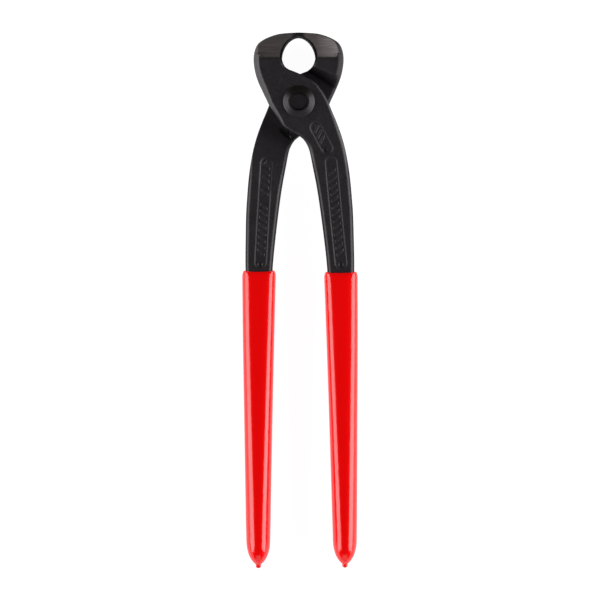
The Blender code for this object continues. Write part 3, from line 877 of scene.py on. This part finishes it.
def head_shade(profile, sides):
    """Painted shade on the rivet: the wall of its dish, and the upper side of its front head."""
    radius, height = np.array(profile).T
    (start, grow), (end, shrink) = DISH_SHADE
    wall = soft_step((radius - start) / grow) * soft_step((end - radius) / shrink)
    wall = wall * (height > JOINT_HALF + RIVET_CLEAR)
    turn = np.linspace(0.0, 2 * math.pi, sides, endpoint=False)
    head = (height > JOINT_HALF) & (radius > HEAD_SHADE_FROM)
    upper = HEAD_SHADE * fade(np.sin(turn), *HEAD_SHADE_TURN)
    return np.maximum(wall[:, None], upper[None, :] * head[:, None])


def rounded(points, radius, steps):
    """A profile with its inner corners rounded."""
    out = [points[0]]
    for before, here, after in zip(points, points[1:], points[2:]):
        here = np.array(here)
        back = np.array(before) - here
        on = np.array(after) - here
        back_length = np.linalg.norm(back)
        on_length = np.linalg.norm(on)
        reach = min(radius, ROUND_REACH * back_length, ROUND_REACH * on_length)
        start = here + back / back_length * reach
        end = here + on / on_length * reach
        for step in range(steps + 1):
            t = step / steps
            out.append(tuple((1 - t) ** 2 * start + 2 * t * (1 - t) * here + t ** 2 * end))
    out.append(points[-1])
    return out


def rivet_mesh():
    """The rivet: dished front head, shank and plain back head, about the middle of the joint."""
    top = PIVOT_HEIGHT
    seat = JOINT_HALF + RIVET_CLEAR
    dish_radius, dish_depth = DISH_FLOOR
    front_radius, front_rise = RIVET_FRONT_BEVEL
    back_radius, back_rise = RIVET_BACK_BEVEL
    points = [(RIVET_AXIS, top - dish_depth), (dish_radius, top - dish_depth)]
    points += [(radius, top - depth) for radius, depth in DISH_RIM]
    points += [(front_radius, seat + front_rise), (RIVET_HEAD, seat), (RIVET_SHANK, seat)]
    points += [(RIVET_SHANK, -seat), (RIVET_HEAD, -seat), (back_radius, -seat - back_rise)]
    points += [(RIVET_BACK_FLAT, -top), (RIVET_AXIS, -top)]
    profile = rounded(points, RIVET_ROUND, RIVET_ROUND_STEPS)
    masks = {"shade": head_shade(profile, RIVET_SIDES)}
    return turned_mesh("rivet", profile, masks, RIVET_SIDES)


class Nodes:
    """A material's node tree, with short calls for the nodes it uses."""

    def __init__(self, name):
        self.material = bpy.data.materials.new(name)
        self.material.use_nodes = True
        self.tree = self.material.node_tree
        self.shader = self.tree.nodes["Principled BSDF"]
        coordinates = self.tree.nodes.new("ShaderNodeTexCoord")
        self.place = coordinates.outputs["Object"]

    def link(self, source, target):
        """Join an output to an input."""
        self.tree.links.new(source, target)

    def noise(self, size, detail, roughness=0.55, stretch=(1.0, 1.0, 1.0)):
        """A noise whose grain is about a given size, in metres."""
        mapping = self.tree.nodes.new("ShaderNodeMapping")
        mapping.inputs["Scale"].default_value = [s / size for s in stretch]
        self.link(self.place, mapping.inputs["Vector"])
        node = self.tree.nodes.new("ShaderNodeTexNoise")
        node.inputs["Scale"].default_value = 1.0
        node.inputs["Detail"].default_value = detail
        node.inputs["Roughness"].default_value = roughness
        self.link(mapping.outputs["Vector"], node.inputs["Vector"])
        return node.outputs["Fac"]

    def remap(self, value, low, high, to_low=0.0, to_high=1.0):
        """A value stretched from one range to another, and held within it."""
        node = self.tree.nodes.new("ShaderNodeMapRange")
        node.inputs["From Min"].default_value = low
        node.inputs["From Max"].default_value = high
        node.inputs["To Min"].default_value = to_low
        node.inputs["To Max"].default_value = to_high
        self.link(value, node.inputs["Value"])
        return node.outputs["Result"]

    def math(self, operation, first, second):
        """One sum of two values, each an output or a number."""
        node = self.tree.nodes.new("ShaderNodeMath")
        node.operation = operation
        for socket, value in zip(node.inputs, (first, second)):
            if isinstance(value, (int, float)):
                socket.default_value = value
            else:
                self.link(value, socket)
        return node.outputs[0]

    def mix(self, factor, first, second):
        """A colour between two, each an output or a colour."""
        node = self.tree.nodes.new("ShaderNodeMix")
        node.data_type = "RGBA"
        self.link(factor, node.inputs["Factor"])
        colours = [s for s in node.inputs if s.type == "RGBA"]
        for socket, value in zip(colours, (first, second)):
            if isinstance(value, tuple):
                socket.default_value = (*value, 1.0)
            else:
                self.link(value, socket)
        return next(s for s in node.outputs if s.type == "RGBA")

    def mask(self, name):
        """One of the mesh's masks."""
        node = self.tree.nodes.new("ShaderNodeAttribute")
        node.attribute_name = name
        return node.outputs["Fac"]

    def bump(self, height, distance, strength, below=None):
        """A bump of a given height, over another one."""
        node = self.tree.nodes.new("ShaderNodeBump")
        node.inputs["Distance"].default_value = distance
        node.inputs["Strength"].default_value = strength
        self.link(height, node.inputs["Height"])
        if below is not None:
            self.link(below, node.inputs["Normal"])
        return node.outputs["Normal"]


def forged_steel():
    """Blackened forged steel, worn on its edges, with ground facets."""
    made = Nodes("blackened_forged_steel")
    mottle = made.noise(MOTTLE, 4.0)
    grain = made.noise(GRAIN, 3.0, GRAIN_HARSH)
    pits = made.noise(PITS, 2.0)
    streaks = made.noise(STREAKS, 3.0, GRAIN_HARSH, stretch=STREAK_STRETCH)
    broad_streaks = made.noise(BROAD_STREAKS, 2.0, BROAD_HARSH, stretch=BROAD_STRETCH)
    wear_and_sheen = made.math("MULTIPLY", made.mask("wear_and_sheen"), made.remap(grain, *WEAR_AND_SHEEN_PATCHES))
    ground = made.mask("ground")
    wall = made.mask("wall")

    black = made.mix(made.remap(mottle, *NOISE_MOTTLE), *STEEL_BLACK)
    black = made.mix(made.remap(grain, *GRAIN_HIGHS), black, STEEL_GRAIN)
    # Wear and a painted highlight lighten the edges and the panels' rims.
    black = made.mix(made.remap(wear_and_sheen, *WEAR_AND_SHEEN_RANGE), black, STEEL_WORN_AND_SHEEN)
    dull = made.mix(made.remap(streaks, *NOISE_MIDDLE), *GROUND_DULL)
    painted_bright = made.mix(made.remap(streaks, *NOISE_MIDDLE), *GROUND_PAINTED_LIT)
    # Painted light: the back facet turns from the dull to the lit copy of the ground steel.
    bare = made.mix(made.mask("painted_facet_light"), dull, painted_bright)
    broad = made.remap(broad_streaks, *NOISE_MIDDLE, 0.0, BROAD_MOST)
    colour = made.mix(ground, black, made.mix(broad, bare, GROUND_STREAK))
    # Painted shade darkens the colour towards black.
    painted_shade = made.remap(made.mask("painted_shade"), *DARK_RANGE)
    made.link(made.mix(painted_shade, colour, PAINTED_SHADE_BLACK), made.shader.inputs["Base Color"])

    rough_black = made.remap(grain, *NOISE_MOST, *BLACK_ROUGH)
    rough_bare = made.remap(streaks, *NOISE_MOST, *GROUND_ROUGH)
    gap = made.math("SUBTRACT", rough_bare, rough_black)
    rough = made.math("ADD", rough_black, made.math("MULTIPLY", gap, ground))
    rough = made.math("ADD", rough, made.math("MULTIPLY", wall, SIDE_ROUGHER))
    made.link(rough, made.shader.inputs["Roughness"])
    specular = made.remap(wall, 0.0, 1.0, *SIDE_SPECULAR)
    made.link(specular, made.shader.inputs["Specular IOR Level"])
    metal = made.math("MAXIMUM", made.math("MULTIPLY", ground, GROUND_METAL), BLACK_METAL)
    made.link(metal, made.shader.inputs["Metallic"])

    plain = made.math("SUBTRACT", 1.0, ground)
    coarse = made.bump(made.math("MULTIPLY", mottle, plain), *MOTTLE_BUMP)
    mid = made.bump(made.math("MULTIPLY", pits, plain), *PIT_BUMP, coarse)
    fine = made.bump(made.math("MULTIPLY", grain, plain), *GRAIN_BUMP, mid)
    cut = made.bump(made.math("MULTIPLY", streaks, ground), *STREAK_BUMP, fine)
    made.link(cut, made.shader.inputs["Normal"])
    return made.material


def rivet_steel():
    """Blackened steel, pressed smooth, with faint turning marks."""
    made = Nodes("blackened_rivet_steel")
    mottle = made.noise(RIVET_MOTTLE, 3.0)
    grain = made.noise(RIVET_FINE, 3.0, GRAIN_HARSH)
    shade = made.mask("shade")
    colour = made.mix(made.remap(mottle, *NOISE_MOTTLE), *RIVET_BLACK)
    colour = made.mix(made.remap(grain, *RIVET_HIGHS), colour, RIVET_GRAIN)
    # Painted shade, on the wall of the dish and the upper side of the head.
    made.link(made.mix(shade, colour, RIVET_SHADE), made.shader.inputs["Base Color"])
    rough = made.remap(grain, *NOISE_MOST, *RIVET_ROUGH)
    rough = made.math("ADD", rough, made.math("MULTIPLY", shade, RIVET_DARK_ROUGHER))
    made.link(rough, made.shader.inputs["Roughness"])
    specular = made.remap(shade, 0.0, 1.0, *RIVET_SPECULAR)
    made.link(specular, made.shader.inputs["Specular IOR Level"])
    made.shader.inputs["Metallic"].default_value = RIVET_METAL
    rings = made.tree.nodes.new("ShaderNodeTexWave")
    rings.wave_type = "RINGS"
    rings.rings_direction = "Z"
    rings.inputs["Scale"].default_value = TURNING_SCALE
    rings.inputs["Distortion"].default_value = TURNING_WAVER
    made.link(made.place, rings.inputs["Vector"])
    coarse = made.bump(mottle, *RIVET_MOTTLE_BUMP)
    turned = made.bump(rings.outputs["Fac"], *TURNING_BUMP, coarse)
    made.link(made.bump(grain, *RIVET_GRAIN_BUMP, turned), made.shader.inputs["Normal"])
    return made.material


def red_dip():
    """Glossy red dipped plastic, faintly uneven as it ran."""
    made = Nodes("red_dipped_plastic")
    drift = made.noise(DIP_DRIFT, 2.0, stretch=DRIFT_STRETCH)
    fleck = made.noise(DIP_FLECKS, 3.0)
    colour = made.mix(made.remap(drift, *NOISE_MOST), *DIP_RED)
    colour = made.mix(made.remap(fleck, *FLECK_HIGHS), colour, DIP_FLECK)
    made.link(colour, made.shader.inputs["Base Color"])
    rough = made.remap(fleck, *NOISE_MOST, *DIP_ROUGH)
    made.link(rough, made.shader.inputs["Roughness"])
    made.shader.inputs["IOR"].default_value = DIP_IOR
    runs = made.bump(drift, *DRIFT_BUMP)
    made.link(made.bump(fleck, *FLECK_BUMP, runs), made.shader.inputs["Normal"])
    return made.material


def pale_floor():
    """A pale, evenly lit sweep under the tool."""
    made = Nodes("pale_sweep")
    tint = made.noise(FLOOR_TINT, 2.0)
    colour = made.mix(made.remap(tint, *NOISE_MOST), *FLOOR_PALE)
    made.link(colour, made.shader.inputs["Base Color"])
    made.shader.inputs["Roughness"].default_value = FLOOR_ROUGH
    made.shader.inputs["Specular IOR Level"].default_value = 0.0
    made.shader.inputs["Emission Color"].default_value = WHITE
    made.shader.inputs["Emission Strength"].default_value = FLOOR_GLOW
    return made.material


def put_piece(name, mesh, material, body, turned=False):
    """A finished piece in its place, riding on its body and standing for its CAD node."""
    piece = new_object(name + "_finish", mesh)
    piece.location = (0.0, 0.0, PIVOT_HEIGHT * MM)
    if turned:
        piece.rotation_euler = (0.0, math.pi, 0.0)
    mesh.materials.clear()
    mesh.materials.append(material)
    bpy.context.view_layer.update()
    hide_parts(name)
    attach(piece, body)
    return piece


def make_tool():
    """All five pieces."""
    run = even_run(handle_ribs() + joint_ribs() + head_ribs())
    steel = forged_steel()
    red = red_dip()
    forging = lever_forging(run)
    put_piece("front_lever", forging, steel, "front_half")
    put_piece("rear_lever", forging, steel, "rear_half", turned=True)
    right = grip_mesh("right_dip", run, GRIP_START["right_grip"])
    put_piece("right_grip", right, red, "front_half")
    left = grip_mesh("left_dip", run, GRIP_START["left_grip"])
    put_piece("left_grip", left, red, "rear_half", turned=True)
    put_piece("pivot_rivet", rivet_mesh(), rivet_steel(), "rear_half")


def soft_box(name, place, target, size, radiance):
    """A soft box at a place, turned to a target, of a given radiance."""
    light = bpy.data.lights.new(name, "AREA")
    light.shape = "RECTANGLE"
    light.size, light.size_y = size
    light.energy = radiance * math.pi * size[0] * size[1]
    box = bpy.data.objects.new(name, light)
    box.location = place
    aim = np.array(target) - np.array(place)
    flat = math.hypot(aim[0], aim[1])
    box.rotation_euler = (math.atan2(flat, -aim[2]), 0.0, math.atan2(-aim[0], aim[1]))
    bpy.context.scene.collection.objects.link(box)
    return box


def make_stage():
    """The floor, the lights, a dim surround and the camera."""
    bpy.ops.mesh.primitive_plane_add(size=FLOOR_SIZE, location=FLOOR_PLACE)
    floor = bpy.context.object
    floor.name = "floor"
    floor.data.materials.append(pale_floor())

    middle = CAMERA_MIDDLE[1]
    sides = (("left_box", -1, LEFT_RADIANCE), ("right_box", 1, RIGHT_RADIANCE))
    target = (0.0, middle, SIDE_HEIGHT)
    for name, side, radiance in sides:
        soft_box(name, (side * SIDE_AWAY, middle, SIDE_HEIGHT), target, SIDE_SIZE, radiance)
    target = (0.0, middle, LOW_HEIGHT)
    soft_box("low_box", (0.0, middle - LOW_AWAY, LOW_HEIGHT), target, LOW_SIZE, LOW_RADIANCE)

    world = bpy.data.worlds.new("surround")
    world.use_nodes = True
    background = world.node_tree.nodes["Background"]
    background.inputs["Color"].default_value = WHITE
    background.inputs["Strength"].default_value = SURROUND
    bpy.context.scene.world = world

    camera_data = bpy.data.cameras.new("camera")
    camera_data.sensor_width = SENSOR
    camera_data.lens = SENSOR * CAMERA_DISTANCE / VIEW_WIDTH
    camera = bpy.data.objects.new("camera", camera_data)
    front_face = (PIVOT_HEIGHT + JOINT_HALF) * MM
    camera.location = (*CAMERA_MIDDLE, CAMERA_DISTANCE + front_face)
    camera.rotation_euler = (0.0, 0.0, CAMERA_ROLL)
    bpy.context.scene.collection.objects.link(camera)
    bpy.context.scene.camera = camera
    bpy.context.scene.view_settings.view_transform = "Standard"
    bpy.context.scene.view_settings.look = "None"


make_tool()
make_stage()
bpy.context.view_layer.update()
